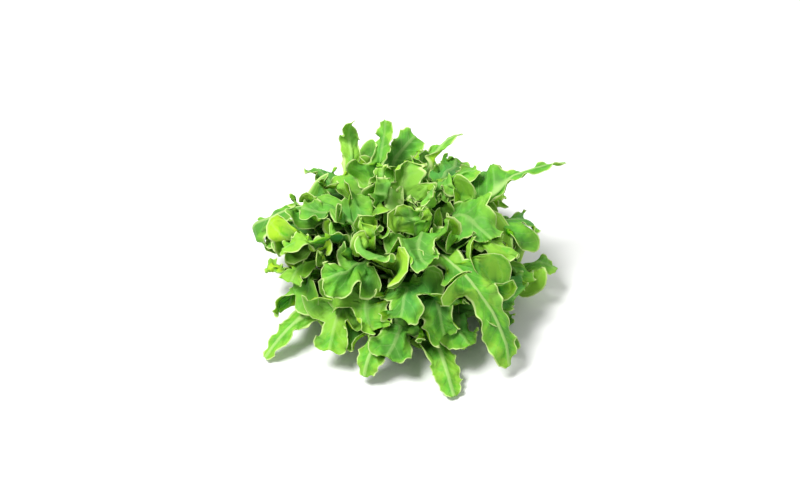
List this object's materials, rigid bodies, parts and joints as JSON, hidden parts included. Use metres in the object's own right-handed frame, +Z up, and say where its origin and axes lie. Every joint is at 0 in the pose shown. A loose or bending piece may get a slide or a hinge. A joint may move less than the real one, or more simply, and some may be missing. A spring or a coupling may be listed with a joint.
{
  "type": "oak leaf lettuce",
  "caption": "Head of green oak leaf lettuce as cut: lobed, ruffled leaves in rings round a short pale stem with a flat cut foot, and a crowded heart.",
  "frame": {"origin": "middle of the stem's cut face, which stands on the ground", "axes": "+Z up through the heart, -Y towards the picture's viewer, +X to the viewer's right"},
  "size_m": [0.2944, 0.291, 0.1467],
  "materials": {
    "stem_pale": "moist stem",
    "outer_green": "satin leaf",
    "lower_green": "satin leaf",
    "middle_green": "satin leaf",
    "upper_green": "satin leaf",
    "crown_green": "satin leaf",
    "heart_green": "satin leaf"
  },
  "bodies": {
    "root": {"stem": "stem_pale", "heart": "heart_green", "outer_leaf_01": "outer_green", "outer_leaf_02": "outer_green", "outer_leaf_03": "outer_green", "outer_leaf_04": "outer_green", "outer_leaf_05": "outer_green", "outer_leaf_06": "outer_green", "outer_leaf_07": "outer_green", "outer_leaf_08": "outer_green", "outer_leaf_09": "outer_green", "outer_leaf_10": "outer_green", "lower_leaf_01": "lower_green", "lower_leaf_02": "lower_green", "lower_leaf_03": "lower_green", "lower_leaf_04": "lower_green", "lower_leaf_05": "lower_green", "lower_leaf_06": "lower_green", "lower_leaf_07": "lower_green", "lower_leaf_08": "lower_green", "lower_leaf_09": "lower_green", "lower_leaf_10": "lower_green", "middle_leaf_01": "middle_green", "middle_leaf_02": "middle_green", "middle_leaf_03": "middle_green", "middle_leaf_04": "middle_green", "middle_leaf_05": "middle_green", "middle_leaf_06": "middle_green", "middle_leaf_07": "middle_green", "middle_leaf_08": "middle_green", "middle_leaf_09": "middle_green", "middle_leaf_10": "middle_green", "upper_leaf_01": "upper_green", "upper_leaf_02": "upper_green", "upper_leaf_03": "upper_green", "upper_leaf_04": "upper_green", "upper_leaf_05": "upper_green", "upper_leaf_06": "upper_green", "upper_leaf_07": "upper_green", "upper_leaf_08": "upper_green", "upper_leaf_09": "upper_green", "upper_leaf_10": "upper_green", "crown_leaf_01": "crown_green", "crown_leaf_02": "crown_green", "crown_leaf_03": "crown_green", "crown_leaf_04": "crown_green", "crown_leaf_05": "crown_green", "crown_leaf_06": "crown_green", "crown_leaf_07": "crown_green", "crown_leaf_08": "crown_green", "crown_leaf_09": "crown_green"}
  },
  "joints": []
}
